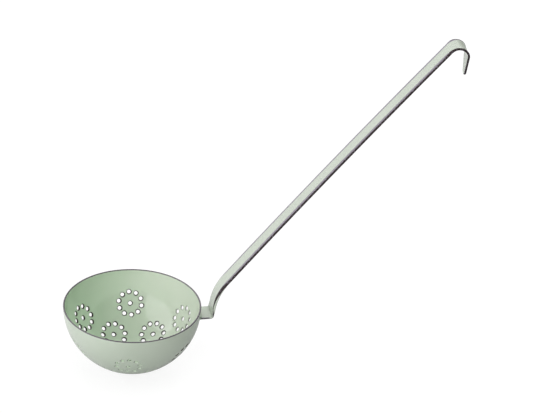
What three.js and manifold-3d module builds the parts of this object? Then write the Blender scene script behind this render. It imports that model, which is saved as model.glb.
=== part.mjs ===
// Perforated enamel skimmer: a pierced hemispherical bowl and a strip handle with a hanging hook,
// welded together. Millimetres, +Z up. The bowl opens upwards, the handle leaves it along +X, and
// the origin is the point inside the hook's crest where a rail carries it.
import * as THREE from "three";
import { mergeVertices } from "three/addons/utils/BufferGeometryUtils.js";
import Module from "manifold-3d";

// Bowl: a spherical pressing
const BOWL_RADIUS = 50; // outside of the wall
const BOWL_DEPTH = 49.8; // rim to the lowest point outside
const BOWL_WALL = 1.2; // steel with its enamel
const BOWL_SIDES = 48;
const BOWL_STEPS = 8; // bands from the bottom to the rim
const RIM_STEPS = 3; // facets round the rim's edge

// Flowers of punched holes: a centre hole in a ring of petal holes
const HOLE_DIAMETER = 2.9;
const HOLE_SIDES = 7;
const PUNCH_CLEARANCE = 1.2; // how far a punch passes each face of the wall
const PETAL_HOLES = 10;
const FLOWER_RADIUS = 8.6; // centre hole to petal holes, along the wall
const FLOWER_TURN = 6; // degrees from the bowl's meridian to the first petal hole
// Where the flowers are, slightly unevenly: degrees up from the lowest point, and round from the handle
const BOTTOM_FLOWER = [0, 0];
const UPPER_FLOWERS = [
  [60.1, 20], [59.4, 82.9], [58.7, 139.4],
  [59.2, 197.5], [59.1, 258.1], [58, 319.1],
];
const LOWER_FLOWERS = [
  [35.4, 47.7], [33.8, 109.8], [34.6, 169.4],
  [34.6, 229], [34.6, 288.5], [34.6, 348.1],
];

// Handle: one bent strip
const STRIP_WIDTH = 15.2; // of the flat strip, as are the two widths below
const TAB_WIDTH = 16.1; // the strip widens from the grip to the tab
const TIP_WIDTH = 7.2; // the hook narrows to a tongue with a round end
const STRIP_THICKNESS = 1.7;
const TAB_DROP = 11; // rim to the middle of the tab's thickness
const TAB_LENGTH = 7.7; // bowl wall to the foot bend
const FOOT_BEND_INSIDE = 0.7;
const NECK_ANGLE = 82; // degrees above level, as are the angles below
const NECK_LENGTH = 4.9;
const NECK_BEND_INSIDE = 42.9;
const GRIP_ANGLE = 50.1; // at the neck
const GRIP_BOW = 2.25; // degrees that the grip turns down along its length
const GRIP_LENGTH = 236.7;
const HOOK_BEND_INSIDE = 7.1;
const HOOK_ANGLE = -94.9;
const HOOK_LEG = 11.7; // straight part, before the round end
const TONGUE_START = 0.76; // share of the hook's bend where it begins to narrow

// Cross-section of the strip: its margins are turned down along the neck and grip
const MARGIN_WIDTH = 2.6;
const NECK_MARGIN_DROP = 0.6;
const GRIP_MARGIN_DROP = 1.1;
const MARGIN_RUN_OUT = 1 / 3; // share of the hook's bend in which the margins flatten out
const HOOK_DISH = 0.5; // how far the edges stand proud of the middle on the crest of the hook
const MARGIN_STEPS = 3;
const FLAT_STEPS = 2;
const EDGE_STEPS = 3; // facets round each edge

// Steps along the strip
const FOOT_BEND_STEPS = 6;
const NECK_STEPS = 3;
const NECK_BEND_STEPS = 7;
const GRIP_STEPS = 10;
const HOOK_BEND_STEPS = 12;
const LEG_STEPS = 2;
const TIP_STEPS = 5;

// Fillet welds above and below the tab
const WELD_LEG = 2.6;
const WELD_END_LEG = 1; // where the bead thins out
const WELD_INSET = 0.9; // from the tab's edge to the end of a weld
const WELD_FACE_STEPS = 4;
const WELD_STATIONS = 12;
const JOINT_GAP = 0.1; // between a welded piece and its neighbour

const MERGE_DISTANCE = 1e-4; // points closer than this are one

const { sin, cos, sqrt, abs, PI } = Math;
const { degToRad: radians, clamp, smoothstep } = THREE.MathUtils;

const centreHeight = BOWL_RADIUS - BOWL_DEPTH; // of the sphere's centre above the rim
const tabHeight = -TAB_DROP;

const wasm = await Module();
wasm.setup();

const enamel = () => new THREE.MeshStandardMaterial({ color: 0xbfd2b8, roughness: 0.18, metalness: 0 });

/** A closed geometry as a solid that can be cut. */
function solidOf(geometry) {
  const bare = geometry.clone();
  bare.deleteAttribute("normal");
  bare.deleteAttribute("uv");
  const merged = mergeVertices(bare, MERGE_DISTANCE);
  const index = merged.index.array;
  const kept = [];
  for (let i = 0; i < index.length; i += 3) {
    const [a, b, c] = [index[i], index[i + 1], index[i + 2]];
    if (a !== b && b !== c && c !== a) kept.push(a, b, c);
  }
  const vertProperties = new Float32Array(merged.attributes.position.array);
  return new wasm.Manifold(new wasm.Mesh({ numProp: 3, vertProperties, triVerts: new Uint32Array(kept) }));
}

/** A cut solid as a geometry again. */
function geometryOf(solid) {
  const mesh = solid.getMesh();
  const geometry = new THREE.BufferGeometry();
  geometry.setAttribute("position", new THREE.BufferAttribute(mesh.vertProperties, 3));
  geometry.setIndex(new THREE.BufferAttribute(mesh.triVerts, 1));
  return geometry;
}

/** Direction from the sphere's centre to a place on the wall: angle up from the bottom, round from +X. */
function wallDirection(up, round) {
  return new THREE.Vector3(sin(up) * cos(round), sin(up) * sin(round), -cos(up));
}

/** The bowl before it is pierced: the wall's profile turned about the Z axis, with a rounded rim. */
function plainBowl() {
  const rimRadius = BOWL_WALL / 2;
  const middle = BOWL_RADIUS - rimRadius;
  const rimAngle = Math.acos((centreHeight + rimRadius) / middle);
  const onWall = (radius, up) => new THREE.Vector2(radius * sin(up), centreHeight - radius * cos(up));
  const profile = [];
  for (let i = 0; i <= BOWL_STEPS; i++) profile.push(onWall(BOWL_RADIUS, (rimAngle * i) / BOWL_STEPS));
  const rimMiddle = onWall(middle, rimAngle);
  for (let i = 1; i < RIM_STEPS; i++) {
    const turn = rimAngle - PI / 2 + (PI * i) / RIM_STEPS;
    profile.push(new THREE.Vector2(rimMiddle.x + rimRadius * cos(turn), rimMiddle.y + rimRadius * sin(turn)));
  }
  for (let i = BOWL_STEPS; i >= 0; i--) {
    profile.push(onWall(BOWL_RADIUS - BOWL_WALL, (rimAngle * i) / BOWL_STEPS));
  }
  return new THREE.LatheGeometry(profile, BOWL_SIDES).rotateX(PI / 2);
}

/** Directions of one flower's holes: its centre, then its petals at equal steps round the centre. */
function flowerHoles(up, round) {
  const centre = wallDirection(up, round);
  const uphill = wallDirection(up + PI / 2, round);
  const across = new THREE.Vector3(-sin(round), cos(round), 0);
  const spread = FLOWER_RADIUS / (BOWL_RADIUS - BOWL_WALL / 2);
  const holes = [centre];
  for (let i = 0; i < PETAL_HOLES; i++) {
    const turn = radians(FLOWER_TURN) + (2 * PI * i) / PETAL_HOLES;
    const petal = centre.clone().multiplyScalar(cos(spread));
    petal.addScaledVector(uphill, sin(spread) * cos(turn));
    petal.addScaledVector(across, sin(spread) * sin(turn));
    holes.push(petal);
  }
  return holes;
}

/** A punch through the wall, square to it. */
function holePunch(direction) {
  const radius = HOLE_DIAMETER / 2;
  const punch = new THREE.CylinderGeometry(radius, radius, BOWL_WALL + 2 * PUNCH_CLEARANCE, HOLE_SIDES);
  punch.applyQuaternion(new THREE.Quaternion().setFromUnitVectors(new THREE.Vector3(0, 1, 0), direction));
  const place = direction.clone().multiplyScalar(BOWL_RADIUS - BOWL_WALL / 2);
  return punch.translate(place.x, place.y, place.z + centreHeight);
}

function piercedBowl() {
  const flowers = [BOTTOM_FLOWER, ...UPPER_FLOWERS, ...LOWER_FLOWERS];
  const holes = flowers.flatMap(([up, round]) => flowerHoles(radians(up), radians(round)));
  const punches = holes.map((direction) => solidOf(holePunch(direction)));
  return geometryOf(wasm.Manifold.difference([solidOf(plainBowl()), ...punches]));
}

/** How far from the Z axis the bowl's outer wall and a joint gap reach, at a distance from the XZ plane. */
function wallReach(y, z) {
  const reach = BOWL_RADIUS + JOINT_GAP;
  return sqrt(reach * reach - y * y - (z - centreHeight) ** 2);
}

/**
 * The strip's centre line, foot to tip, as stations: place, heading, half width, margin drop and dish.
 * Gives the place inside the hook's crest too.
 */
function handleRoute() {
  const middle = STRIP_THICKNESS / 2;
  const place = { x: wallReach(0, tabHeight), z: tabHeight, heading: 0, along: 0 };
  const stations = [{ ...place, drop: 0, dish: 0 }];
  const run = (length, turn, steps, form) => {
    for (let i = 1; i <= steps; i++) {
      const bend = turn / steps;
      const chord = bend ? (length / turn) * 2 * sin(bend / 2) : length / steps;
      place.x += chord * cos(place.heading + bend / 2);
      place.z += chord * sin(place.heading + bend / 2);
      place.heading += bend;
      place.along += length / steps;
      stations.push({ ...place, drop: 0, dish: 0, ...form(i / steps) });
    }
  };
  const bendTo = (angle, inside, steps, form) => {
    const turn = radians(angle) - place.heading;
    run((inside + middle) * abs(turn), turn, steps, form);
  };
  const flat = () => ({});
  run(TAB_LENGTH, 0, 1, flat);
  bendTo(NECK_ANGLE, FOOT_BEND_INSIDE, FOOT_BEND_STEPS, flat);
  run(NECK_LENGTH, 0, NECK_STEPS, (share) => ({ drop: NECK_MARGIN_DROP * smoothstep(share, 0, 1) }));
  bendTo(GRIP_ANGLE, NECK_BEND_INSIDE, NECK_BEND_STEPS, (share) => ({
    drop: NECK_MARGIN_DROP + (GRIP_MARGIN_DROP - NECK_MARGIN_DROP) * smoothstep(share, 0, 1),
  }));
  const gripStart = place.along;
  run(GRIP_LENGTH, -radians(GRIP_BOW), GRIP_STEPS, () => ({ drop: GRIP_MARGIN_DROP }));
  const gripEnd = place.along;
  const hookRadius = HOOK_BEND_INSIDE + middle;
  const crest = {
    x: place.x + hookRadius * sin(place.heading),
    z: place.z - hookRadius * cos(place.heading) + HOOK_BEND_INSIDE,
  };
  bendTo(HOOK_ANGLE, HOOK_BEND_INSIDE, HOOK_BEND_STEPS, (share) => ({
    drop: GRIP_MARGIN_DROP * (1 - smoothstep(share, 0, MARGIN_RUN_OUT)),
    dish: HOOK_DISH * sin(PI * share),
  }));
  const tongueStart = gripEnd + TONGUE_START * (place.along - gripEnd);
  run(HOOK_LEG, 0, LEG_STEPS, flat);
  const legEnd = place.along;
  for (const station of stations) {
    const flare = 1 - smoothstep(station.along, TAB_LENGTH, gripStart);
    const taper = clamp((station.along - tongueStart) / (legEnd - tongueStart), 0, 1);
    const width = STRIP_WIDTH + (TAB_WIDTH - STRIP_WIDTH) * flare - (STRIP_WIDTH - TIP_WIDTH) * taper;
    station.half = width / 2;
  }
  const tipRadius = TIP_WIDTH / 2;
  for (let i = 1; i <= TIP_STEPS; i++) {
    const turn = ((PI / 2) * i) / (TIP_STEPS + 1);
    const x = place.x + tipRadius * sin(turn) * cos(place.heading);
    const z = place.z + tipRadius * sin(turn) * sin(place.heading);
    stations.push({ x, z, heading: place.heading, half: tipRadius * cos(turn), drop: 0, dish: 0 });
  }
  return { stations, crest };
}

/** Shares of the half width where the strip's surface has a point, from one edge to the other. */
function acrossStrip() {
  const flatEdge = 1 - MARGIN_WIDTH / (STRIP_WIDTH / 2);
  const shares = [];
  for (let i = 0; i < MARGIN_STEPS; i++) shares.push(-1 + ((1 - flatEdge) * i) / MARGIN_STEPS);
  for (let i = 0; i <= FLAT_STEPS; i++) shares.push(flatEdge * ((2 * i) / FLAT_STEPS - 1));
  for (let i = 1; i <= MARGIN_STEPS; i++) shares.push(flatEdge + ((1 - flatEdge) * i) / MARGIN_STEPS);
  return shares;
}

/**
 * Cross-section of the strip as [across, up] points: the upper face, an edge, the lower face, the other edge.
 * The middle surface falls by the square of the way into the margin and rises by the square of the share.
 */
function stripSection({ half, drop, dish }) {
  const round = STRIP_THICKNESS / 2;
  const drawnIn = (2 * drop * drop) / (3 * MARGIN_WIDTH); // width that the turned margin takes up
  const reach = half - drawnIn - round;
  const marginStart = half - MARGIN_WIDTH - drawnIn;
  const middle = (share) => {
    const across = share * reach;
    const into = Math.max(0, (abs(across) - marginStart) / MARGIN_WIDTH);
    const rise = dish * share * share - drop * into * into;
    const slope = (2 * dish * share) / reach - ((2 * drop * into) / MARGIN_WIDTH) * Math.sign(across);
    return { across, rise, tilt: Math.atan(slope) };
  };
  const offset = ({ across, rise, tilt }, turn) => [
    across + round * cos(tilt + turn),
    rise + round * sin(tilt + turn),
  ];
  const shares = acrossStrip();
  const points = shares.map((share) => offset(middle(share), PI / 2));
  for (let i = 1; i < EDGE_STEPS; i++) points.push(offset(middle(1), PI / 2 - (PI * i) / EDGE_STEPS));
  points.push(...shares.map((share) => offset(middle(-share), -PI / 2)));
  for (let i = 1; i < EDGE_STEPS; i++) points.push(offset(middle(-1), -PI / 2 - (PI * i) / EDGE_STEPS));
  return points;
}

/** A closed surface through rings of equally many points, with triangles of point numbers for each end. */
function loft(rings, endFaces) {
  const size = rings[0].length;
  const index = [];
  for (let i = 0; i + 1 < rings.length; i++) {
    for (let j = 0; j < size; j++) {
      const [a, b] = [i * size + j, i * size + ((j + 1) % size)];
      index.push(a, b + size, b, a, a + size, b + size);
    }
  }
  const last = (rings.length - 1) * size;
  for (const [a, b, c] of endFaces) index.push(a, b, c, last + c, last + b, last + a);
  const geometry = new THREE.BufferGeometry();
  geometry.setAttribute("position", new THREE.Float32BufferAttribute(rings.flat(2), 3));
  geometry.setIndex(index);
  return geometry;
}

/** End triangles of the strip: bands between its two faces, and a fan in each rounded edge. */
function stripEnds() {
  const across = acrossStrip().length;
  const lower = (k) => across + EDGE_STEPS - 1 + (across - 1 - k);
  const faces = [];
  for (let k = 0; k + 1 < across; k++) {
    faces.push([k, k + 1, lower(k + 1)], [k, lower(k + 1), lower(k)]);
  }
  for (let i = 0; i + 1 < EDGE_STEPS; i++) {
    faces.push([across - 1, across + i, across + i + 1]);
    faces.push([0, lower(0) + i, lower(0) + i + 1]);
  }
  return faces;
}

/** The handle: its section carried along the stations, with the foot shaped to the bowl's wall. */
function handleStrip(stations) {
  const rings = stations.map((station, i) =>
    stripSection(station).map(([across, up]) => {
      const x = station.x - up * sin(station.heading);
      const z = station.z + up * cos(station.heading);
      return i === 0 ? [wallReach(across, z), across, z] : [x, across, z];
    }),
  );
  return loft(rings, stripEnds());
}

/** A fillet weld in the corner of wall and tab: side is 1 above the tab and -1 below it. */
function filletWeld(side) {
  const reach = TAB_WIDTH / 2 - WELD_INSET;
  const corner = tabHeight + side * (STRIP_THICKNESS / 2 + JOINT_GAP);
  const rings = [];
  for (let i = 0; i <= WELD_STATIONS; i++) {
    const share = (2 * i) / WELD_STATIONS - 1;
    const y = share * reach;
    const leg = WELD_LEG - (WELD_LEG - WELD_END_LEG) * share ** 4;
    const ring = [[wallReach(y, corner), y, corner]];
    for (let j = 0; j <= WELD_FACE_STEPS; j++) {
      const turn = (PI / 2) * (j / WELD_FACE_STEPS);
      const along = leg * (1 - sin(turn)); // a hollow face: a quarter circle round the far corner
      const z = corner + side * leg * (1 - cos(turn));
      ring.push([wallReach(y, z) + along, y, z]);
    }
    rings.push(side > 0 ? ring : ring.reverse());
  }
  const fan = [];
  for (let j = 1; j + 1 < rings[0].length; j++) fan.push([0, j, j + 1]);
  return loft(rings, fan);
}

const { stations, crest } = handleRoute();
const skimmer = new THREE.Group();
skimmer.position.set(-crest.x, 0, -crest.z);

function addPiece(name, geometry) {
  const piece = new THREE.Mesh(geometry, enamel());
  piece.name = name;
  skimmer.add(piece);
}

addPiece("bowl", piercedBowl());
addPiece("handle", handleStrip(stations));
addPiece("weld_upper", filletWeld(1));
addPiece("weld_lower", filletWeld(-1));

export default skimmer;
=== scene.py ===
"""Looks of a perforated enamel skimmer: a pierced bowl on a strip handle that ends in a hanging hook.

Lengths are metres in the part's own frame, whose origin is inside the hook's crest. Each piece is a surface
worked out with numpy from the sizes below. Each finish is a node material on Object coordinates and on the
piece's own attributes, which say how far a point is from the edges where the enamel runs thin or where a
painted sheen lies, in mm, and which side of the piece it is on.
"""
import math
from types import SimpleNamespace

import bmesh
import bpy
import numpy as np
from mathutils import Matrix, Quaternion, Vector
from mathutils.geometry import delaunay_2d_cdt


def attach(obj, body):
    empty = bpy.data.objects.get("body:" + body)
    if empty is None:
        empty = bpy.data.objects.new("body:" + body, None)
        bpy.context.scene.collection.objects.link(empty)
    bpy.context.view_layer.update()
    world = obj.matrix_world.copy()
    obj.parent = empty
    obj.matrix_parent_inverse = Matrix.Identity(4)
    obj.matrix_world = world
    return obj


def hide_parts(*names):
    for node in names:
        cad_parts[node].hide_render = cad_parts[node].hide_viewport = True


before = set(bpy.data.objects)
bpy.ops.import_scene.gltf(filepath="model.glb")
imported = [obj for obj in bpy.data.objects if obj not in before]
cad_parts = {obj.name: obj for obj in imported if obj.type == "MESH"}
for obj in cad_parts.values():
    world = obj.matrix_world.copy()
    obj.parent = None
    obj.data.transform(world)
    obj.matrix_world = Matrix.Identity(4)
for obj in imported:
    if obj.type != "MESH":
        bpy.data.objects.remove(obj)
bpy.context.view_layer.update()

MM = 0.001

# Bowl
BOWL_RADIUS = 50 * MM  # outside of the wall
BOWL_DEPTH = 49.8 * MM  # rim to the lowest point outside
BOWL_WALL = 1.2 * MM
CENTRE_RISE = BOWL_RADIUS - BOWL_DEPTH  # rim to the wall's centre above it
RIM_EDGE = BOWL_WALL / 2  # radius of the rounded rim
WALL_MIDDLE = BOWL_RADIUS - RIM_EDGE
RIM_ANGLE = math.acos((CENTRE_RISE + RIM_EDGE) / WALL_MIDDLE)  # up the wall from its lowest point
WALL_STEP = 2 * MM  # between points of the plain wall
RIM_SIDES = 264
RIM_STEPS = 10  # round the rim's edge

# Flowers of punched holes
HOLE_RADIUS = 1.4 * MM
HOLE_LIP = 0.45 * MM  # radius of the enamel round a hole's edge
LIP_ANGLE = (HOLE_RADIUS + HOLE_LIP) / WALL_MIDDLE  # between a hole's axis and its lip
HOLE_SIDES = 28
LIP_STEPS = 5
PETAL_HOLES = 10
FLOWER_RADIUS = 8.6 * MM
FLOWER_TURN = math.radians(6)  # from the bowl's meridian to the first petal hole
# Where the flowers are: degrees up the wall from its lowest point, then degrees round it from the handle
FLOWERS = np.array([
    (0, 0),
    (60.1, 20), (59.4, 82.9), (58.7, 139.4), (59.2, 197.5), (59.1, 258.1), (58, 319.1),
    (35.4, 47.7), (33.8, 109.8), (34.6, 169.4), (34.6, 229), (34.6, 288.5), (34.6, 348.1),
])
APRON = 0.65 * MM  # from a hole's lip to the ring of points round it
APRON_SIDES = 16
APRON_GAP = 0.7 * MM  # from that ring to the plain wall's points
LEANS_TO_X = 0.7  # past this share of X in a hole's axis, its rings start square to Y, and otherwise to X
TINY = 1e-9  # a gap or a length on the unit sphere below this counts as none
FAR_OFF = 10 * MM  # stands for the distance to an edge that is nowhere near

# Handle: one bent strip
STRIP_WIDTH = 15.2 * MM
TAB_WIDTH = 16.1 * MM  # the strip widens from the grip to the tab
TIP_WIDTH = 7.2 * MM  # the hook narrows to a tongue with a round end
STRIP_THICKNESS = 1.7 * MM
TAB_DROP = 11 * MM  # rim to the middle of the tab's thickness
TAB_LENGTH = 7.7 * MM
TAB_GAP = 0.1 * MM  # between the tab's end and the wall, which the weld fills
FOOT_BEND_INSIDE = 0.7 * MM
NECK_ANGLE = math.radians(82)  # above level, as are the angles below
NECK_LENGTH = 4.9 * MM
NECK_BEND_INSIDE = 42.9 * MM
GRIP_ANGLE = math.radians(50.1)
GRIP_BOW = math.radians(2.25)
GRIP_LENGTH = 236.7 * MM
HOOK_BEND_INSIDE = 7.1 * MM
HOOK_ANGLE = math.radians(-94.9)
HOOK_LEG = 11.7 * MM
TONGUE_START = 0.76  # share of the hook's bend where it begins to narrow
MARGIN_WIDTH = 2.6 * MM  # edge strips that are turned down along the neck and grip
NECK_MARGIN_DROP = 0.6 * MM
GRIP_MARGIN_DROP = 1.1 * MM
MARGIN_RUN_OUT = 1 / 3  # share of the hook's bend in which the margins flatten out
HOOK_DISH = 0.5 * MM
MARGIN_STEPS = 10
FLAT_STEPS = 12
EDGE_STEPS = 14
TIP_STEPS = 16
HANDLE_CREASE = math.radians(50)  # faces that meet at more than this keep a sharp edge
DOUBLE_REACH = 1e-7  # points nearer than this are joined where a surface closes on itself

# Fillets of enamelled weld round the tab
WELD_TOP_LEG = 2.4 * MM
WELD_SIDE_LEG = 1.1 * MM
WELD_SINK = 0.4 * MM  # how far a piece is let into its neighbour
WELD_END_BULK = 0.35  # by the tab's edges, where 1 is full
WELD_BUILD_UP = 3  # how fast the bulk grows from there towards the middle
WELD_FACE_STEPS = 8
WELD_NOSE_STEPS = 8
WELD_FLAT_STEPS = 30
WELD_CREASE = math.radians(40)

# Enamel: gloss, and sizes of the patterns in it
ENAMEL_IOR = 1.75
GLOSS_ROUGHNESS = 0.02
GLOSS_SPREAD = 0.02  # how much duller the dullest patches are
GLOSS_SIZE = 9 * MM
THIN_ROUGHNESS = 0.2  # how much duller a thin coat is
WAVE_SIZE = 7 * MM
WAVE_HEIGHT = 0.2 * MM
WAVE_STRENGTH = 0.1
RIPPLE_SIZE = 1.6 * MM
RIPPLE_SHARE = 0.12  # of the waves' height
CLOUD_SIZE = 22 * MM
CLOUD_FADE = (0.3, 0.7)
GROUND_ROUGHNESS = 0.45
GROUND_SPECULAR = 0.15

# Where the bowl's ground coat shows. A pair is where a fade starts and where it is complete.
RUN_WAY = np.array([0.9, 0, -0.44])  # the way that the coat ran off the holes' edges
HOLE_RAGGED_SIZE = 0.9 * MM
PATCH_SIZE = 2.6 * MM
SPECK_SIZE = 0.55 * MM
SPECK_FADE = (0.7, 0.76)
# In mm along the surface, from a hole's bore or from the rim's crest
HOLE_RAGGED = 0.6
HOLE_PATCHES = 0.5
RING_SHIFT = 0.2
RING_REACH = (0.98, 0.74)
SPECK_REACH = (1.9, 1.0)
BORE_REACH = (0.6, 0.35)
SPOT_REACH = (0.75, 0.5)
SPOT_START = (0.12, 0.3)
RIM_REACH = (1.0, 0.7)
RIM_RAGGED_SHARE = 0.3  # of the raggedness by the holes
# In shares of the way through the wall from outside
RING_DEPTH = (0.5, 0.62)
RUN_RING_DEPTH = (0.25, 0.45)
FILLED_DEPTH = (0.95, 0.8)
SPECK_DEPTH = (0.5, 0.9)
BORE_DEPTH = (0.6, 0.4)
SPOT_DEPTH = (0.45, 0.2)
# In cosines of the angle round a hole from the way that the coat ran
RUN_SIDE = (0.5, 0.75)
SPOT_SIDE = (-0.5, -0.8)
# In shares of the bowl's radius towards the handle, or towards the front for the filled bores
COVERED_RINGS = (0.5, 0.75)
RING_COVER = 0.7  # how much of those rings the cover coat hides
# Bores outside on the handle side show dark ground coat, which stands in part for painted shade there
BARE_AND_SHADED_BORES = (0.25, 0.45)
FILLED_BORES = (0.2, 0.4)
# Painted light and shade inside the bowl: shaded deep green away from the handle, lit pale green towards it
INNER_LIGHT_FADE = (-0.9, 0.9)  # from deep green to pale
INNER_CLOUDS = 0.5

# Where the cover coat thins along the strip, in mm, and where a purple-grey painted sheen lies on its edges:
# a painted reflection of the light on the dark rounded edge. Each row is a place along it from the bowl's
# wall, then how far past the start of the rounded edge the painted sheen starts, the bare ground coat starts
# and the cover coat comes back, and how much sooner the painted sheen starts on the far edge.
THIN_COAT_AND_SHEEN = np.array([
    (0, 0.2, 1.0, 1.5, 0),
    (6, 0.4, 1.0, 1.5, 0),
    (7.5, 1.2, 1.5, 1.2, 0),
    (9.3, 1.2, 1.5, 1.3, 0),
    (10.5, 0.9, 1.1, 2.0, 0),
    (12, 0.6, 0.8, 1.6, 0.2),
    (15, -0.5, -0.4, 0.0, 0.3),
    (17, -1.0, -0.9, -0.1, 0.3),
    (20, -1.6, -1.5, 0.05, 0.3),
    (23, -1.9, -1.8, 0.25, 0.3),
    (27, -1.9, -1.7, 0.6, 0.4),
    (33, -1.8, -1.3, 1.0, 0.6),
    (39, -1.5, -0.6, 1.6, 1.2),
    (47, -1.4, -0.4, 2.4, 1.6),
    (60, -1.4, -0.3, 2.8, 1.7),
    (270, -1.4, -0.3, 2.8, 2.1),
    (275, -1.3, -0.7, 2.8, 1.9),
    (279, -0.7, -0.6, 2.8, 1.6),
    (284, -0.2, -0.1, 2.8, 0.6),
    (310, -0.2, -0.1, 2.4, 0),
])
# On the far edge the painted sheen and the bare coat start no sooner than these, before that last column
FAR_EDGE_SHEEN = -0.5
FAR_EDGE_BARE = -0.3
FAR_EDGE_LEAD = 0.12  # share of that column by which the bare coat starts sooner too
SHEEN_FADE = (-0.12, 0.25)  # mm past those places
BARE_FADE = (-0.15, 0.2)
BACK_FADE = (0.2, -0.2)
STRIP_RAGGED_SIZE = 1.0 * MM
STRIP_RAGGED = 0.5  # in mm
MOTTLE_SIZE = 1.4 * MM
MOTTLE_FADE = (0.52, 0.68)
MOTTLE_SHARE = 0.45  # of the bare coat that a thin cover still veils there

# Where the weld's coat is deeper green, a thicker coat darkened with painted shade in the corners by the
# tab's edges: share of the way from the tab's middle to its edge
POOL_AND_SHADE_FADE = (0.85, 1.0)
POOL_AND_SHADE_RAGGED = 0.3
POOL_AND_SHADE_SIZE = 1.5 * MM

# Stage and light
FLOOR_REACH = 10
FLOOR_GLOW = 0.88  # by the bowl, where the light on it makes up the rest of white
FLOOR_FADE = (0.4, 0.9)  # distance from the bowl over which the glow rises to white
# Dim places of the floor and the room as the enamel mirrors them, in metres or in shares of a direction.
# Beside the bowl the floor's dim place is a painted shadow of the bowl.
LEE_WIDTH = 1.8 * BOWL_RADIUS  # left of the bowl's axis, over which the floor dims
LEE_NEAR = (0.1, 0.03)
LEE_FAR = (0.4, 0.2)
LEE_FAR_SHARE = 0.4
LEE_DIMMING = 0.6
RIGHT_FLOOR = (0.15, 0.35)
RIGHT_FLOOR_DIMMING = 0.85
DIM_ABOVE = (0.08, 0.25)
DIM_FRONT = (0.35, 0.05)
DIM_RIGHT = (0.3, 0.55)
ROOM_DIMMING = 0.96
# Even light, and the low front right that sends little of it
EVEN_LIGHT = 0.36
UNLIT_WAY = (0.6, -0.8)
UNLIT_SIDE = (0.15, 0.7)
UNLIT_BELOW = (0.5, 0.2)
# Softboxes: the way from the bowl to each, its size and its radiance
LIGHT_DISTANCE = 1.4
KEY_WAY = (-0.91, -0.24, 0.34)
KEY_WIDTH = 2.18
KEY_HEIGHT = 1.82
KEY_RADIANCE = 1.19
FILL_WIDTH = 1
FILLS = {
    "front_fill": ((-0.34, -0.93, 0.14), 2.7),
    "top_fill": ((0, -0.3, 0.95), 2.7),
    "back_fill": ((0, 0.87, 0.5), 1.8),
    "back_right_fill": ((0.61, 0.61, 0.5), 2.6),
}

# Camera: the photograph's view
IMAGE_WIDTH = 533
FOCAL_PIXELS = 4500
CAMERA_AIM = Vector((-133.31, 0, -121.92)) * MM
CAMERA_AZIMUTH = math.radians(-11.27)
CAMERA_ELEVATION = math.radians(30.92)
CAMERA_DISTANCE = 3.2288
CAMERA_ROLL = math.radians(1.93)
SENSOR_WIDTH = 36


def srgb(red, green, blue):
    """A colour given in 0 to 255 as it looks on screen, as linear light with full alpha."""
    share = np.array([red, green, blue]) / 255
    light = np.where(share <= 0.04045, share / 12.92, ((share + 0.055) / 1.055) ** 2.4)
    return (*light.tolist(), 1.0)


COVER_GREEN = srgb(196, 208, 191)
COVER_DEEP = srgb(193, 206, 188)
# Inside the bowl: painted shade, deep green, away from the handle, and painted light, pale green, towards it
INNER_SHADED_GREEN = srgb(186, 211, 181)
INNER_LIT_GREEN = srgb(217, 225, 210)
# The handle's green is a greyer, slightly darker copy of the cover green: painted shade that offsets the
# strong light on the handle
STRIP_GREEN = srgb(196, 204, 191)
STRIP_DEEP = srgb(193, 202, 188)
# Deeper green of the weld's corners: thicker coat, darkened with painted shade
POOL_AND_SHADE_GREEN = srgb(112, 138, 108)
# Purple-grey painted sheen: a painted reflection of the light on the strip's dark edges
SHEEN_GREY = srgb(132, 124, 138)
RIM_GREY = srgb(88, 80, 90)
GROUND_DARK = srgb(50, 41, 42)
STAGE_WHITE = (1.0, 1.0, 1.0, 1.0)
FLOOR_PALE = srgb(197, 197, 197)
SHADOW_PALE = srgb(110, 110, 110)


# Shapes

def ease(share):
    """A smooth step from 0 to 1: three times the square less twice the cube, held outside 0 to 1."""
    share = np.clip(share, 0, 1)
    return share * share * (3 - 2 * share)


def running(values):
    """Running sums, which start at 0."""
    return np.concatenate([[0], np.cumsum(values)])


def wall_direction(up, turn):
    """Unit direction from the bowl's centre: an angle up from the lowest point, and one round from +X."""
    up, turn = np.broadcast_arrays(up, turn)
    return np.stack([np.sin(up) * np.cos(turn), np.sin(up) * np.sin(turn), -np.cos(up)], -1)


def grid_faces(numbers):
    """Quads of a grid of point numbers, whose second direction closes on itself."""
    after = np.roll(numbers, -1, axis=-1)
    quads = [numbers[..., :-1, :], after[..., :-1, :], after[..., 1:, :], numbers[..., 1:, :]]
    return np.stack(quads, -1).reshape(-1, 4)


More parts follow.
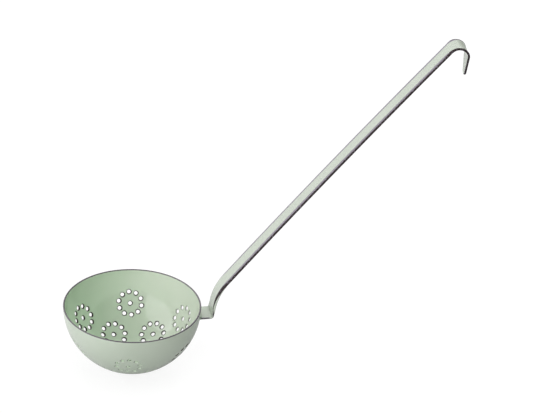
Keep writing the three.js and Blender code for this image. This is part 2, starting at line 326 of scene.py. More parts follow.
def strip_route():
    """Centre line of the strip in the XZ plane, wall to tip: arcs and straights laid end to end.

    Each run turns evenly, so a step's chord is its length times the sine of half its turn over that half
    turn. It is laid at the step's middle heading, and the places are running sums of the chords.
    """
    middle = STRIP_THICKNESS / 2
    grip_end = GRIP_ANGLE - GRIP_BOW

    def bend(inside, turn):
        """Length and turn of an arc: the radius to the strip's middle times the turn."""
        return (inside + middle) * abs(turn), turn

    runs = {  # length, turn and number of steps
        "tab": (TAB_LENGTH, 0, 8),
        "foot": (*bend(FOOT_BEND_INSIDE, NECK_ANGLE), 16),
        "neck": (NECK_LENGTH, 0, 12),
        "neck_bend": (*bend(NECK_BEND_INSIDE, GRIP_ANGLE - NECK_ANGLE), 36),
        "grip": (GRIP_LENGTH, -GRIP_BOW, 160),
        "hook": (*bend(HOOK_BEND_INSIDE, HOOK_ANGLE - grip_end), 48),
        "leg": (HOOK_LEG, 0, 8),
    }
    lengths, turns, counts = (np.array(column) for column in zip(*runs.values()))
    step = np.repeat(lengths / counts, counts)
    turn = np.repeat(turns / counts, counts)
    heading = running(turn)
    chord = step * np.sinc(turn / (2 * np.pi))
    aim = heading[:-1] + turn / 2
    start = math.sqrt((BOWL_RADIUS + TAB_GAP) ** 2 - (CENTRE_RISE + TAB_DROP) ** 2)
    x = start + running(chord * np.cos(aim))
    z = -TAB_DROP + running(chord * np.sin(aim))
    ends = dict(zip(runs, np.cumsum(lengths)))
    hook = counts[:list(runs).index("hook")].sum()
    radius = HOOK_BEND_INSIDE + middle
    crest = np.array([
        x[hook] + radius * np.sin(heading[hook]),
        0,
        z[hook] - radius * np.cos(heading[hook]) + HOOK_BEND_INSIDE,
    ])
    return SimpleNamespace(x=x, z=z, heading=heading, along=running(step), ends=ends, crest=crest)


route = strip_route()
RIM_CENTRE = -route.crest
BOWL_CENTRE = RIM_CENTRE + [0, 0, CENTRE_RISE]
FLOOR_HEIGHT = BOWL_CENTRE[2] - BOWL_RADIUS


def wall_reach(y, z):
    """Distance along X from the bowl's axis to its outer wall: by Pythagoras, in heights from the rim."""
    return np.sqrt(BOWL_RADIUS**2 - y**2 - (z - CENTRE_RISE) ** 2)


def strip_stations():
    """The route with its tongue tip, and the section's sizes at each station.

    The tip's outline is a half circle: its inner edge runs forward by the sine of a quarter turn's angle and
    narrows by the cosine, and the rounded edge points outwards by the same angle.
    """
    ends = route.ends
    along = route.along
    neck = ease((along - ends["foot"]) / NECK_LENGTH)
    bent = ease((along - ends["neck"]) / (ends["neck_bend"] - ends["neck"]))
    hooked = np.clip((along - ends["grip"]) / (ends["hook"] - ends["grip"]), 0, 1)
    drop = neck * (NECK_MARGIN_DROP + (GRIP_MARGIN_DROP - NECK_MARGIN_DROP) * bent)
    drop = drop * ease(1 - hooked / MARGIN_RUN_OUT)
    dish = HOOK_DISH * np.sin(np.pi * hooked)
    flare = 1 - ease((along - ends["tab"]) / (ends["neck_bend"] - ends["tab"]))
    tongue_start = ends["grip"] + TONGUE_START * (ends["hook"] - ends["grip"])
    taper = np.clip((along - tongue_start) / (ends["leg"] - tongue_start), 0, 1)
    width = STRIP_WIDTH + (TAB_WIDTH - STRIP_WIDTH) * flare - (STRIP_WIDTH - TIP_WIDTH) * taper
    drawn_in = 2 * drop**2 / (3 * MARGIN_WIDTH)
    reach = (width - STRIP_THICKNESS) / 2 - drawn_in
    fan = np.linspace(0, np.pi / 2, TIP_STEPS + 1)[1:]
    ahead = reach[-1] * np.sin(fan)
    last = route.heading[-1]
    still = np.zeros(TIP_STEPS)
    return SimpleNamespace(
        x=np.concatenate([route.x, route.x[-1] + ahead * np.cos(last)]),
        z=np.concatenate([route.z, route.z[-1] + ahead * np.sin(last)]),
        heading=np.concatenate([route.heading, np.full(TIP_STEPS, last)]),
        along=np.concatenate([along, along[-1] + ahead]),
        drop=np.concatenate([drop, still]),
        dish=np.concatenate([dish, still]),
        reach=np.concatenate([reach, reach[-1] * np.cos(fan)]),
        fan=np.concatenate([0 * along, fan]),
    )


def strip_section():
    """Round the strip's section: each point's share of the way across, and the angle at which it stands off.

    It goes over the upper face, round a half circle, back under the lower face and round a second one.
    """
    margin_share = MARGIN_WIDTH / (STRIP_WIDTH / 2)
    margin = np.linspace(1, 1 - margin_share, MARGIN_STEPS + 1)
    flat = np.linspace(1 - margin_share, margin_share - 1, FLAT_STEPS + 1)
    across = np.concatenate([-margin[:-1], -flat[:-1], margin[::-1]])
    nose = np.linspace(0, np.pi, EDGE_STEPS + 1)[1:-1]
    share = np.concatenate([across, np.ones_like(nose), -across, -np.ones_like(nose)])
    turn = np.concatenate([
        np.full(across.size, np.pi / 2),
        np.pi / 2 - nose,
        np.full(across.size, -np.pi / 2),
        -np.pi / 2 - nose,
    ])
    return share, turn


def strip_marks(along, place, past):
    """How far each point lies past where the painted sheen starts and the coat ends and comes back, in mm.

    It is the distance past the start of the rounded edge, less the start that the table gives there.
    """
    starts = (np.interp(along, THIN_COAT_AND_SHEEN[:, 0], column)[:, None] for column in THIN_COAT_AND_SHEEN[:, 1:].T)
    sheen, bare, back, far = starts
    on_far_edge = place > 0
    sheen = np.where(on_far_edge, np.maximum(sheen, FAR_EDGE_SHEEN) - far, sheen)
    bare = np.where(on_far_edge, np.maximum(bare, FAR_EDGE_BARE) - FAR_EDGE_LEAD * far, bare)
    return {"past_sheen": past - sheen, "past_bare": past - bare, "past_back": past - back}


def strip_surface():
    """Points of the strip as a grid of stations by section points, and their marks.

    The section's middle line falls by the square of the way into the margin and rises by the square of the
    share across it. The faces stand half the thickness off it, along its normal, and half circles join them.
    """
    here = strip_stations()
    share, turn = strip_section()
    reach, drop, dish = here.reach[:, None], here.drop[:, None], here.dish[:, None]
    heading, fan = here.heading[:, None], here.fan[:, None]
    edge = STRIP_THICKNESS / 2
    place = share * reach
    into = np.maximum(0, (np.abs(place) - (reach + edge - MARGIN_WIDTH)) / MARGIN_WIDTH)
    rise = dish * share**2 - drop * into**2
    slope = 2 * dish * share / np.maximum(reach, edge)
    slope = slope - 2 * drop * into / MARGIN_WIDTH * np.sign(place)
    tilt = np.arctan(slope)
    aside = edge * np.cos(tilt + turn)
    up = rise + edge * np.sin(tilt + turn)
    y = place + aside * np.cos(fan)
    forward = np.abs(aside) * np.sin(fan)
    x = here.x[:, None] + forward * np.cos(heading) - up * np.sin(heading)
    z = here.z[:, None] + forward * np.sin(heading) + up * np.cos(heading)
    x[0] = wall_reach(y[0], z[0]) - WELD_SINK
    on_face = (1 - np.abs(share)) * reach
    past = edge * np.arccos(np.sin(turn)) - on_face * np.sin(turn)
    return np.stack([x, y, z], -1) + RIM_CENTRE, strip_marks(here.along / MM, place, past / MM)


def flower_directions():
    """Unit directions of all holes: each flower's centre, and petals at equal turns on a small circle."""
    up, turn = np.radians(FLOWERS).T
    centre = wall_direction(up, turn)[:, None]
    uphill = wall_direction(up + np.pi / 2, turn)[:, None]
    across = np.stack([-np.sin(turn), np.cos(turn), 0 * turn], -1)[:, None]
    spread = FLOWER_RADIUS / WALL_MIDDLE
    petal = FLOWER_TURN + 2 * np.pi * np.arange(PETAL_HOLES)[:, None] / PETAL_HOLES
    ring = np.cos(petal) * uphill + np.sin(petal) * across
    petals = np.cos(spread) * centre + np.sin(spread) * ring
    return np.concatenate([centre, petals], 1).reshape(-1, 3)


def rings_round(axes, angle, sides):
    """Unit directions on small circles round axes, and those out from the axis to each.

    A circle's point is the axis times the angle's cosine and the direction out from it times the sine.
    """
    helper = np.where(np.abs(axes[:, :1]) < LEANS_TO_X, [[1.0, 0, 0]], [[0, 1.0, 0]])
    first = np.cross(axes, helper)
    first = first / np.linalg.norm(first, axis=1, keepdims=True)
    second = np.cross(axes, first)
    turn = 2 * np.pi * np.arange(sides)[:, None] / sides
    outward = np.cos(turn) * first[:, None] + np.sin(turn) * second[:, None]
    return np.cos(angle) * axes[:, None] + np.sin(angle) * outward, outward


def plain_wall_directions():
    """Directions spread evenly over the wall below the rim: rings a step apart, of points a step apart."""
    step = WALL_STEP / BOWL_RADIUS
    up = np.linspace(0, RIM_ANGLE, round(RIM_ANGLE / step) + 1)[:-1]
    counts = np.maximum(1, np.round(2 * np.pi * np.sin(up) / step)).astype(int)
    first = np.repeat(np.cumsum(counts) - counts, counts)
    number = np.arange(counts.sum()) - first
    return wall_direction(np.repeat(up, counts), 2 * np.pi * number / np.repeat(counts, counts))


def flat_map(direction):
    """Stereographic map of the wall from the top of its sphere: X and Y over one less Z."""
    return direction[..., :2] / (1 - direction[..., 2:])


def to_nearest_hole(direction, axes):
    """Distance along the wall's middle from each direction to the nearest axis: radius times angle."""
    return np.arccos(np.clip((direction @ axes.T).max(1), -1, 1)) * WALL_MIDDLE


def pierced_wall(axes, lips, rim):
    """Directions of a face's points, lips and rim first, and the triangles between them.

    The points are spread over the plain wall, with a ring of them round each hole. Their flat map is
    triangulated with the lips as fixed edges, and a triangle between three points of one lip lies in a hole.
    """
    aprons, _ = rings_round(axes, LIP_ANGLE + APRON / WALL_MIDDLE, APRON_SIDES)
    plain = plain_wall_directions()
    plain = plain[to_nearest_hole(plain, axes) > HOLE_RADIUS + HOLE_LIP + APRON + APRON_GAP]
    wall = np.concatenate([lips.reshape(-1, 3), rim, aprons.reshape(-1, 3), plain])
    numbers = np.arange(len(axes) * HOLE_SIDES).reshape(-1, HOLE_SIDES)
    loops = np.stack([numbers, np.roll(numbers, -1, 1)], -1).reshape(-1, 2)
    spots = [Vector(spot) for spot in flat_map(wall).tolist()]
    triangles = np.array(delaunay_2d_cdt(spots, loops.tolist(), [], 0, TINY, False)[2])
    hole = triangles // HOLE_SIDES
    in_hole = (triangles < numbers.size).all(1) & (hole == hole[:, :1]).all(1)
    return wall, triangles[~in_hole]


def hole_collars(axes, outward):
    """Points and normals of the collars in the holes, and the turn of each ring from the outer face.

    A collar turns a profile about the hole's axis: a quarter circle, the bore and another quarter circle.
    Past the hole's radius the quarter circle reaches out by the lip times one less the sine of its turn, and
    it is sunk under the face by the lip times one less the cosine.
    """
    quarter = np.linspace(0, np.pi / 2, LIP_STEPS + 1)[1:]
    reach = HOLE_RADIUS + HOLE_LIP * (1 - np.sin(quarter))
    sunk = HOLE_LIP * (1 - np.cos(quarter))
    outer, inner = np.cos(LIP_ANGLE) * np.array([BOWL_RADIUS, BOWL_RADIUS - BOWL_WALL])
    reach = np.concatenate([reach, reach[::-1]])[:, None, None]
    height = np.concatenate([outer - sunk, inner + sunk[::-1]])[:, None, None]
    turn = np.concatenate([quarter, np.pi - quarter[::-1]])
    sine, cosine = np.sin(turn)[:, None, None], np.cos(turn)[:, None, None]
    axes, outward = axes[:, None, None], outward[:, None]
    return height * axes + reach * outward, cosine * axes - sine * outward, turn


def rim_rings(rim, rim_turn):
    """Points and normals of the rounded rim, and the lean of each ring above level.

    The rim turns a half circle about the bowl's axis. A normal goes outward by the cosine of its lean and up
    by the sine, and a point is the end of the wall's middle plus the edge's radius along the normal.
    """
    lean = np.linspace(RIM_ANGLE - np.pi / 2, RIM_ANGLE + np.pi / 2, RIM_STEPS + 1)[1:-1]
    level = wall_direction(np.pi / 2, rim_turn)
    upright = np.array([0, 0, 1.0])
    normals = np.cos(lean)[:, None, None] * level + np.sin(lean)[:, None, None] * upright
    return WALL_MIDDLE * rim + RIM_EDGE * normals, normals, lean


def bowl_marks(points, axes, outward, wall, turn, lean):
    """Each point's distances from a bore and from the rim's crest in mm, and which side it is on.

    Distances run along the surface: over the wall and round a lip, each by its radius times the angle.
    """
    collar_shape = (len(axes), turn.size, HOLE_SIDES)
    rim_shape = (lean.size, RIM_SIDES)

    def on_all(outer, inner, collar, rim):
        """The values of both faces, the collars and the rim in the order of their points."""
        shapes = (len(wall), len(wall), collar_shape, rim_shape)
        groups = zip((outer, inner, collar, rim), shapes)
        return np.concatenate([np.broadcast_to(values, shape).ravel() for values, shape in groups])

    from_hole = to_nearest_hole(wall, axes) - HOLE_RADIUS + HOLE_LIP * (np.pi / 2 - 1)
    in_collar = HOLE_LIP * np.abs(np.pi / 2 - turn)
    up = np.arccos(np.clip(-wall[:, 2], -1, 1))
    from_rim = BOWL_RADIUS * (RIM_ANGLE - up) + RIM_EDGE * np.pi / 2
    on_rim = RIM_EDGE * np.abs(lean - RIM_ANGLE)
    closest = axes[(wall @ axes.T).argmax(1)]
    away = wall - closest * np.sum(wall * closest, 1, keepdims=True)
    away = away / np.maximum(np.linalg.norm(away, axis=1, keepdims=True), TINY)
    ran = away @ RUN_WAY
    through_collar = np.linspace(0, 1, turn.size)[:, None]
    through_rim = np.linspace(0, 1, lean.size)[:, None]
    return {
        "from_hole": on_all(from_hole, from_hole, in_collar[:, None], FAR_OFF) / MM,
        "from_rim": on_all(from_rim, from_rim, FAR_OFF, on_rim[:, None]) / MM,
        "inside": on_all(0, 1, through_collar, through_rim),
        "ran": on_all(ran, ran, (outward @ RUN_WAY)[:, None], 0),
        "handle_side": points[:, 0] / BOWL_RADIUS,
        "front_side": -points[:, 1] / BOWL_RADIUS,
    }


def bowl_surface():
    """The pierced bowl: two spherical faces with round gaps, a collar in each hole and a rounded rim.

    Both faces have the same directions, times the radius of each, and the same triangles. The rings of the
    collars and of the rim join them.
    """
    axes = flower_directions()
    lips, outward = rings_round(axes, LIP_ANGLE, HOLE_SIDES)
    rim_turn = 2 * np.pi * np.arange(RIM_SIDES) / RIM_SIDES
    rim = wall_direction(RIM_ANGLE, rim_turn)
    wall, triangles = pierced_wall(axes, lips, rim)
    collars, collar_normals, turn = hole_collars(axes, outward)
    edge, edge_normals, lean = rim_rings(rim, rim_turn)
    points = np.concatenate([
        BOWL_RADIUS * wall,
        (BOWL_RADIUS - BOWL_WALL) * wall,
        collars.reshape(-1, 3),
        edge.reshape(-1, 3),
    ])
    normals = np.concatenate([wall, -wall, collar_normals.reshape(-1, 3), edge_normals.reshape(-1, 3)])

    count = len(wall)
    lip_numbers = np.arange(len(axes) * HOLE_SIDES).reshape(-1, 1, HOLE_SIDES)
    rim_numbers = lip_numbers.size + np.arange(RIM_SIDES)[None]
    collar_numbers = 2 * count + np.arange(collars[..., 0].size).reshape(collars.shape[:3])
    edge_numbers = 2 * count + collar_numbers.size + np.arange(edge[..., 0].size).reshape(-1, RIM_SIDES)
    collar_rings = np.concatenate([lip_numbers, collar_numbers, lip_numbers + count], 1)
    edge_rings = np.concatenate([rim_numbers, edge_numbers, rim_numbers + count])
    triangles = np.concatenate([triangles[:, ::-1], triangles + count])
    quads = np.concatenate([grid_faces(collar_rings), grid_faces(edge_rings)])
    marks = bowl_marks(points, axes, outward, wall, turn, lean)
    return points + BOWL_CENTRE, triangles.tolist() + quads.tolist(), normals, marks


def weld_surface(side):
    """Fillet round half of the tab, from the middle of one edge over its face to the middle of the other.

    It follows the tab's outline, a flat with a half circle at each end. Its hollow face is a quarter circle:
    the distance off the tab is the leg times one less the cosine, and off the wall times one less the sine.
    """
    edge = STRIP_THICKNESS / 2
    flat = TAB_WIDTH / 2 - edge
    nose = np.linspace(0, np.pi / 2, WELD_NOSE_STEPS + 1)
    level = np.linspace(1, -1, WELD_FLAT_STEPS + 1)[1:-1]
    turn = np.concatenate([nose, np.full(level.size, np.pi / 2), np.pi - nose[::-1]])
    middle = flat * np.concatenate([np.ones_like(nose), level, -np.ones_like(nose)])
    normal_y, normal_z = np.cos(turn), side * np.sin(turn)
    outline_y, outline_z = middle + edge * normal_y, edge * normal_z - TAB_DROP
    from_end = 1 - np.abs(middle) / flat
    bulk = ease(np.sin(turn)) * ease(from_end * WELD_BUILD_UP + WELD_END_BULK)
    leg = (WELD_SIDE_LEG + (WELD_TOP_LEG - WELD_SIDE_LEG) * bulk)[:, None]
    across = np.linspace(0, np.pi / 2, WELD_FACE_STEPS + 1)
    off_tab = np.concatenate([-WELD_SINK + 0 * leg, leg * (1 - np.cos(across))], 1)
    off_wall = np.concatenate([-WELD_SINK + 0 * leg, leg * (1 - np.sin(across))], 1)
    y = outline_y[:, None] + off_tab * normal_y[:, None]
    z = outline_z[:, None] + off_tab * normal_z[:, None]
    points = np.stack([wall_reach(y, z) + off_wall, y, z], -1)
    numbers = np.arange(y.size).reshape(y.shape)
    numbers = numbers if side > 0 else numbers[:, ::-1]
    faces = grid_faces(numbers).tolist() + [numbers[0][::-1].tolist(), numbers[-1].tolist()]
    by_edge = np.broadcast_to((np.abs(middle) / flat)[:, None], y.shape)
    return points.reshape(-1, 3) + RIM_CENTRE, faces, {"by_edge": by_edge}


# Finishes

class Shade:
    """One socket of a tree of nodes. Arithmetic on it adds Math nodes, and node() adds any other node."""

    def __init__(self, tree, socket=None):
        self.tree = tree
        self.socket = socket

    def node(self, kind, settings=None, inputs=None, output=0):
        """Adds a node: its settings first, then its inputs, each a number, a colour or another Shade."""
        made = self.tree.nodes.new(kind)
        for name, value in (settings or {}).items():
            setattr(made, name, value)
        for name, value in (inputs or {}).items():
            if isinstance(value, Shade):
                self.tree.links.new(value.socket, made.inputs[name])
            else:
                made.inputs[name].default_value = value
        return Shade(self.tree, made.outputs[output] if made.outputs else None)

    def math(self, operation, *others):
        """A Math node on this value and the others."""
        return self.node("ShaderNodeMath", {"operation": operation}, dict(enumerate((self, *others))))

    def __add__(self, other):
        return self.math("ADD", other)

    def __sub__(self, other):
        return self.math("SUBTRACT", other)

    def __rsub__(self, other):
        return self.math("MULTIPLY", -1).math("ADD", other)

    def __mul__(self, other):
        return self.math("MULTIPLY", other)

    __radd__ = __add__
    __rmul__ = __mul__

    def larger(self, other):
        """The larger of the two values at each point."""
        return self.math("MAXIMUM", other)

    def rise(self, low, high):
        """A smooth step from 0 at low to 1 at high; low may be above high."""
        inputs = {"Value": self, "From Min": low, "From Max": high}
        return self.node("ShaderNodeMapRange", {"interpolation_type": "SMOOTHSTEP"}, inputs)

    def mix(self, under, over):
        """A colour: under where this is 0, over where it is 1."""
        return self.node("ShaderNodeMix", {"data_type": "RGBA"}, {0: self, 6: under, 7: over}, 2)

    def mark(self, name):
        """The piece's own attribute of that name."""
        return self.node("ShaderNodeAttribute", {"attribute_name": name}, output="Fac")

    def place(self):
        """Object coordinates."""
        return self.node("ShaderNodeTexCoord", output="Object")

    def axis(self, name):
        """The X, Y or Z of a place or direction."""
        return self.node("ShaderNodeSeparateXYZ", None, {0: self}, name)

    def noise(self, size, detail=2.0):
        """Noise on Object coordinates, about 0.5, with grains of a size in metres."""
        inputs = {"Vector": self.place(), "Scale": 1 / size, "Detail": detail}
        return self.node("ShaderNodeTexNoise", None, inputs)

    def swing(self, size, reach, detail=2.0):
        """Noise about 0, times a reach."""
        return (self.noise(size, detail) - 0.5) * reach


def blank_shade(owner):
    """A Shade on the emptied nodes of a material or a world."""
    owner.use_nodes = True
    owner.node_tree.nodes.clear()
    return Shade(owner.node_tree)


def enamel(name, coat):
    """Glossy enamel over a dull ground coat, slightly wavy, and duller where it is thin.

    coat(shade) gives its colour, how thin it is and how bare the ground coat is.
    """
    material = bpy.data.materials.new(name)
    shade = blank_shade(material)
    colour, thin, bare = coat(shade)
    waves = shade.noise(WAVE_SIZE, detail=1.0) + shade.noise(RIPPLE_SIZE, detail=1.0) * RIPPLE_SHARE
    bump = {"Strength": WAVE_STRENGTH, "Distance": WAVE_HEIGHT, "Height": waves}
    cover = shade.node("ShaderNodeBsdfPrincipled", None, {
        "Base Color": colour,
        "Roughness": shade.noise(GLOSS_SIZE) * GLOSS_SPREAD + GLOSS_ROUGHNESS + thin * THIN_ROUGHNESS,
        "IOR": ENAMEL_IOR,
        "Normal": shade.node("ShaderNodeBump", None, bump),
    })
    ground = shade.node("ShaderNodeBsdfPrincipled", None, {
        "Base Color": GROUND_DARK,
        "Roughness": GROUND_ROUGHNESS,
        "Specular IOR Level": GROUND_SPECULAR,
    })
    surface = shade.node("ShaderNodeMixShader", None, {0: bare, 1: cover, 2: ground})
    shade.node("ShaderNodeOutputMaterial", None, {"Surface": surface})
    return material


def cover_colour(shade, pale=COVER_GREEN, deep=COVER_DEEP):
    """The pale green cover coat, in soft clouds of two greens."""
    return shade.noise(CLOUD_SIZE).rise(*CLOUD_FADE).mix(pale, deep)


def bowl_coat(shade):
    """Cover coat that thins at the rim and in the holes, where the dark ground coat shows.

    The coat ran one way as it was fired, so a ring inside is widest on that side, and outside a spot is bare
    on the other. Towards the handle it covers the rings inside, and the bores outside are dark with ground
    coat that is partly painted shade, on the side away from the key light. At the front it fills the bores.
    Inside, the green carries painted light and shade: deep away from the handle and pale towards it.
    """
    ragged = shade.swing(HOLE_RAGGED_SIZE, HOLE_RAGGED, detail=3.0)
    from_hole = shade.mark("from_hole")
    inside = shade.mark("inside")
    ran = shade.mark("ran")
    handle_side = shade.mark("handle_side")
    worn = from_hole + ragged + shade.swing(PATCH_SIZE, HOLE_PATCHES)

    lip = inside.rise(*RING_DEPTH).larger(inside.rise(*RUN_RING_DEPTH) * ran.rise(*RUN_SIDE))
    filled = shade.mark("front_side").rise(*FILLED_BORES) * inside.rise(*FILLED_DEPTH)
    covered = (handle_side.rise(*COVERED_RINGS) * RING_COVER).larger(filled)
    ring = (worn - ran * RING_SHIFT).rise(*RING_REACH) * lip * (1 - covered)
    specks = shade.noise(SPECK_SIZE, detail=0.0).rise(*SPECK_FADE)
    specks = specks * from_hole.rise(*SPECK_REACH) * inside.rise(*SPECK_DEPTH)
    # Dark bores outside on the handle side: ground coat, and painted shade away from the key light
    bore = worn.rise(*BORE_REACH) * inside.rise(*BORE_DEPTH) * handle_side.rise(*BARE_AND_SHADED_BORES)
    spot = worn.rise(*SPOT_REACH) * from_hole.rise(*SPOT_START)
    spot = spot * ran.rise(*SPOT_SIDE) * inside.rise(*SPOT_DEPTH)
    rim = (shade.mark("from_rim") + ragged * RIM_RAGGED_SHARE).rise(*RIM_REACH)

    # Painted light and shade inside: deep green on the shaded side away from the handle, pale on the lit
    # side
    lit_side = (handle_side + shade.swing(CLOUD_SIZE, INNER_CLOUDS)).rise(*INNER_LIGHT_FADE)
    colour = inside.mix(cover_colour(shade), lit_side.mix(INNER_SHADED_GREEN, INNER_LIT_GREEN))
    colour = rim.larger(spot).mix(colour, RIM_GREY)
    bare = ring.larger(specks).larger(bore)
    return colour, rim, bare


def strip_coat(shade):
    """Cover coat on the faces, bare ground coat on the edges and a purple-grey painted sheen on the margins.
    """
    ragged = shade.swing(STRIP_RAGGED_SIZE, STRIP_RAGGED, detail=3.0)
    back = (shade.mark("past_back") + ragged).rise(*BACK_FADE)
    # The sheen is a painted reflection of the light on the margins, not a coat; it also dulls the coat there
    sheen = (shade.mark("past_sheen") + ragged).rise(*SHEEN_FADE) * back
    bare = (shade.mark("past_bare") + ragged).rise(*BARE_FADE) * back
    mottle = shade.noise(MOTTLE_SIZE).rise(*MOTTLE_FADE) * MOTTLE_SHARE
    colour = sheen.mix(cover_colour(shade, STRIP_GREEN, STRIP_DEEP), SHEEN_GREY)
    return colour, sheen, bare * (1 - mottle)


def weld_coat(shade):
    """Cover coat that is deeper green in the corners by the tab's edges: thicker there, and painted shade.
    """
    # Thicker coat and painted shade in the corners by the tab's edges
    pool_and_shade = (shade.mark("by_edge") + shade.swing(POOL_AND_SHADE_SIZE, POOL_AND_SHADE_RAGGED)).rise(*POOL_AND_SHADE_FADE)
    return pool_and_shade.mix(cover_colour(shade, STRIP_GREEN, STRIP_DEEP), POOL_AND_SHADE_GREEN), pool_and_shade, 0.0


# Pieces

def add_object(name, data):
    """Adds an object of that data to the scene."""
    made = bpy.data.objects.new(name, data)
    bpy.context.scene.collection.objects.link(made)
    return made


def add_piece(name, points, faces, material, node, normals=None, marks=None, sharp=None):
    """Adds a mesh piece that stands for a CAD node and rides with the skimmer."""
    mesh = bpy.data.meshes.new(name)
    mesh.from_pydata(points.tolist(), [], faces)
    for mark, values in (marks or {}).items():
        layer = mesh.attributes.new(mark, "FLOAT", "POINT")
        layer.data.foreach_set("value", np.ascontiguousarray(values, np.float32).ravel())
    if normals is None:
        work = bmesh.new()
        work.from_mesh(mesh)
        bmesh.ops.remove_doubles(work, verts=work.verts, dist=DOUBLE_REACH)
        work.to_mesh(mesh)
        work.free()
    mesh.shade_smooth()
    if normals is not None:
        mesh.normals_split_custom_set_from_vertices(normals.tolist())
    if sharp is not None:
        mesh.set_sharp_from_angle(angle=sharp)
    mesh.materials.append(material)
    piece = add_object(name, mesh)
    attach(piece, "root")
    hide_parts(node)


def add_bowl():
    """The pierced bowl."""
    points, faces, normals, marks = bowl_surface()
    add_piece("bowl_enamel", points, faces, enamel("bowl_enamel", bowl_coat), "bowl", normals, marks)


def add_handle():
    """The strip, closed by a face at the wall and by its own tip."""
    points, marks = strip_surface()
    numbers = np.arange(points[..., 0].size).reshape(points.shape[:2])
    faces = grid_faces(numbers[:, ::-1]).tolist() + [numbers[0].tolist()]
    finish = enamel("handle_enamel", strip_coat)
    add_piece("handle_enamel", points.reshape(-1, 3), faces, finish, "handle", None, marks, HANDLE_CREASE)


def add_welds():
    """The fillets above and below the tab."""
    finish = enamel("weld_enamel", weld_coat)
    for node, side in (("weld_upper", 1), ("weld_lower", -1)):
        points, faces, marks = weld_surface(side)
        add_piece(node + "_enamel", points, faces, finish, node, None, marks, WELD_CREASE)


# Stage, light and camera

def seen_directly(shade):
    """1 for the camera, glossy and transmission rays that see the stage, and 1 for glossy ones alone."""
    rays = ("Is Camera Ray", "Is Glossy Ray", "Is Transmission Ray")
    camera, glossy, through = (shade.node("ShaderNodeLightPath", output=ray) for ray in rays)
    return camera.larger(glossy).larger(through), glossy


def add_floor():
    """A wide white floor under the bowl. To the eye it glows white, and keeps a faint shadow of the skimmer.

    Far from the bowl it glows fully. Mirrored in the enamel it is dimmer beside the bowl, a painted shadow
    of the bowl, and to the right, away from the key light.
    """
    square = np.array([(-1, -1, 0), (1, -1, 0), (1, 1, 0), (-1, 1, 0)])
    corners = square * FLOOR_REACH + [0, 0, FLOOR_HEIGHT]
    mesh = bpy.data.meshes.new("floor")
    mesh.from_pydata(corners.tolist(), [], [(0, 1, 2, 3)])
    material = bpy.data.materials.new("floor_white")
    shade = blank_shade(material)
    seen, glossy = seen_directly(shade)
    place = shade.place()
    across, depth = (place.axis(name) for name in "XY")
    # The lee is a painted shadow of the bowl on the floor, as the enamel mirrors it
    beside = depth.rise(*LEE_NEAR).larger(depth.rise(*LEE_FAR) * LEE_FAR_SHARE)
    lee = across.rise(RIM_CENTRE[0] - LEE_WIDTH, RIM_CENTRE[0]) * beside
    dimming = (lee * LEE_DIMMING).larger(across.rise(*RIGHT_FLOOR) * RIGHT_FLOOR_DIMMING) * glossy
    away = shade.node("ShaderNodeVectorMath", {"operation": "DISTANCE"}, {0: place, 1: RIM_CENTRE}, "Value")
    strength = FLOOR_GLOW + away.rise(*FLOOR_FADE) * (1 - FLOOR_GLOW) - dimming
    paper = shade.node("ShaderNodeBsdfDiffuse", None, {"Color": FLOOR_PALE})
    faint = shade.node("ShaderNodeBsdfDiffuse", None, {"Color": SHADOW_PALE})
    glow = shade.node("ShaderNodeEmission", None, {"Color": STAGE_WHITE, "Strength": strength})
    white = shade.node("ShaderNodeAddShader", None, {0: glow, 1: faint})
    surface = shade.node("ShaderNodeMixShader", None, {0: seen, 1: paper, 2: white})
    shade.node("ShaderNodeOutputMaterial", None, {"Surface": surface})
    mesh.materials.append(material)
    add_object("floor", mesh)


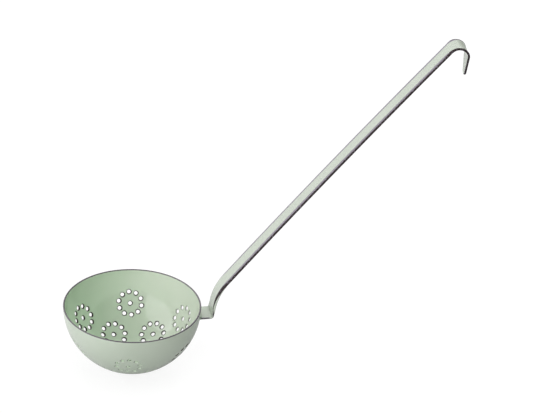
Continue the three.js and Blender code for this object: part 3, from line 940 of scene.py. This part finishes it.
def add_world():
    """Even light, little of it from the low front right, and a white backdrop.

    Mirrored in the enamel the backdrop is a dim room above on the camera's side, and on the right.
    """
    world = bpy.data.worlds.new("studio")
    shade = blank_shade(world)
    seen, glossy = seen_directly(shade)
    direction = shade.node("ShaderNodeTexCoord", output="Generated")
    across, depth, height = (direction.axis(name) for name in "XYZ")
    room = height.rise(*DIM_ABOVE) * depth.rise(*DIM_FRONT)
    dimming = room.larger(across.rise(*DIM_RIGHT)) * glossy * ROOM_DIMMING
    unlit = (across * UNLIT_WAY[0] + depth * UNLIT_WAY[1]).rise(*UNLIT_SIDE) * height.rise(*UNLIT_BELOW)
    even = {"Color": STAGE_WHITE, "Strength": (1 - unlit) * EVEN_LIGHT}
    lit = shade.node("ShaderNodeBackground", None, even)
    white = shade.node("ShaderNodeBackground", None, {"Color": STAGE_WHITE, "Strength": 1 - dimming})
    surface = shade.node("ShaderNodeMixShader", None, {0: seen, 1: lit, 2: white})
    shade.node("ShaderNodeOutputWorld", None, {"Surface": surface})
    bpy.context.scene.world = world


def add_softbox(name, way, width, height, radiance, mirrored=False):
    """An oval light that way from the bowl, facing it; its power is radiance times pi times area."""
    light = bpy.data.lights.new(name, "AREA")
    light.shape = "ELLIPSE"
    light.size, light.size_y = width, height
    light.energy = radiance * math.pi * (math.pi / 4 * width * height)
    lamp = add_object(name, light)
    lamp.visible_glossy = mirrored
    direction = Vector(way).normalized()
    lamp.location = Vector(RIM_CENTRE) + direction * LIGHT_DISTANCE
    lamp.rotation_mode = "QUATERNION"
    lamp.rotation_quaternion = direction.to_track_quat("Z", "Y")


def add_lights():
    """One large key light on the left, which the enamel mirrors, and fill lights that it doesn't."""
    add_softbox("key", KEY_WAY, KEY_WIDTH, KEY_HEIGHT, KEY_RADIANCE, mirrored=True)
    for name, (way, radiance) in FILLS.items():
        add_softbox(name, way, FILL_WIDTH, FILL_WIDTH, radiance)


def add_camera():
    """The photograph's view: from an azimuth and elevation round the aim, with a slight roll."""
    level = math.cos(CAMERA_ELEVATION)
    back = Vector((
        math.sin(CAMERA_AZIMUTH) * level,
        -math.cos(CAMERA_AZIMUTH) * level,
        math.sin(CAMERA_ELEVATION),
    ))
    data = bpy.data.cameras.new("camera")
    data.sensor_width = SENSOR_WIDTH
    data.lens = SENSOR_WIDTH * FOCAL_PIXELS / IMAGE_WIDTH
    camera = add_object("camera", data)
    camera.location = CAMERA_AIM + back * CAMERA_DISTANCE
    camera.rotation_mode = "QUATERNION"
    camera.rotation_quaternion = (-back).to_track_quat("-Z", "Y") @ Quaternion((0, 0, 1), CAMERA_ROLL)
    bpy.context.scene.camera = camera


add_bowl()
add_handle()
add_welds()
add_floor()
add_world()
add_lights()
add_camera()
bpy.context.scene.view_settings.view_transform = "Standard"
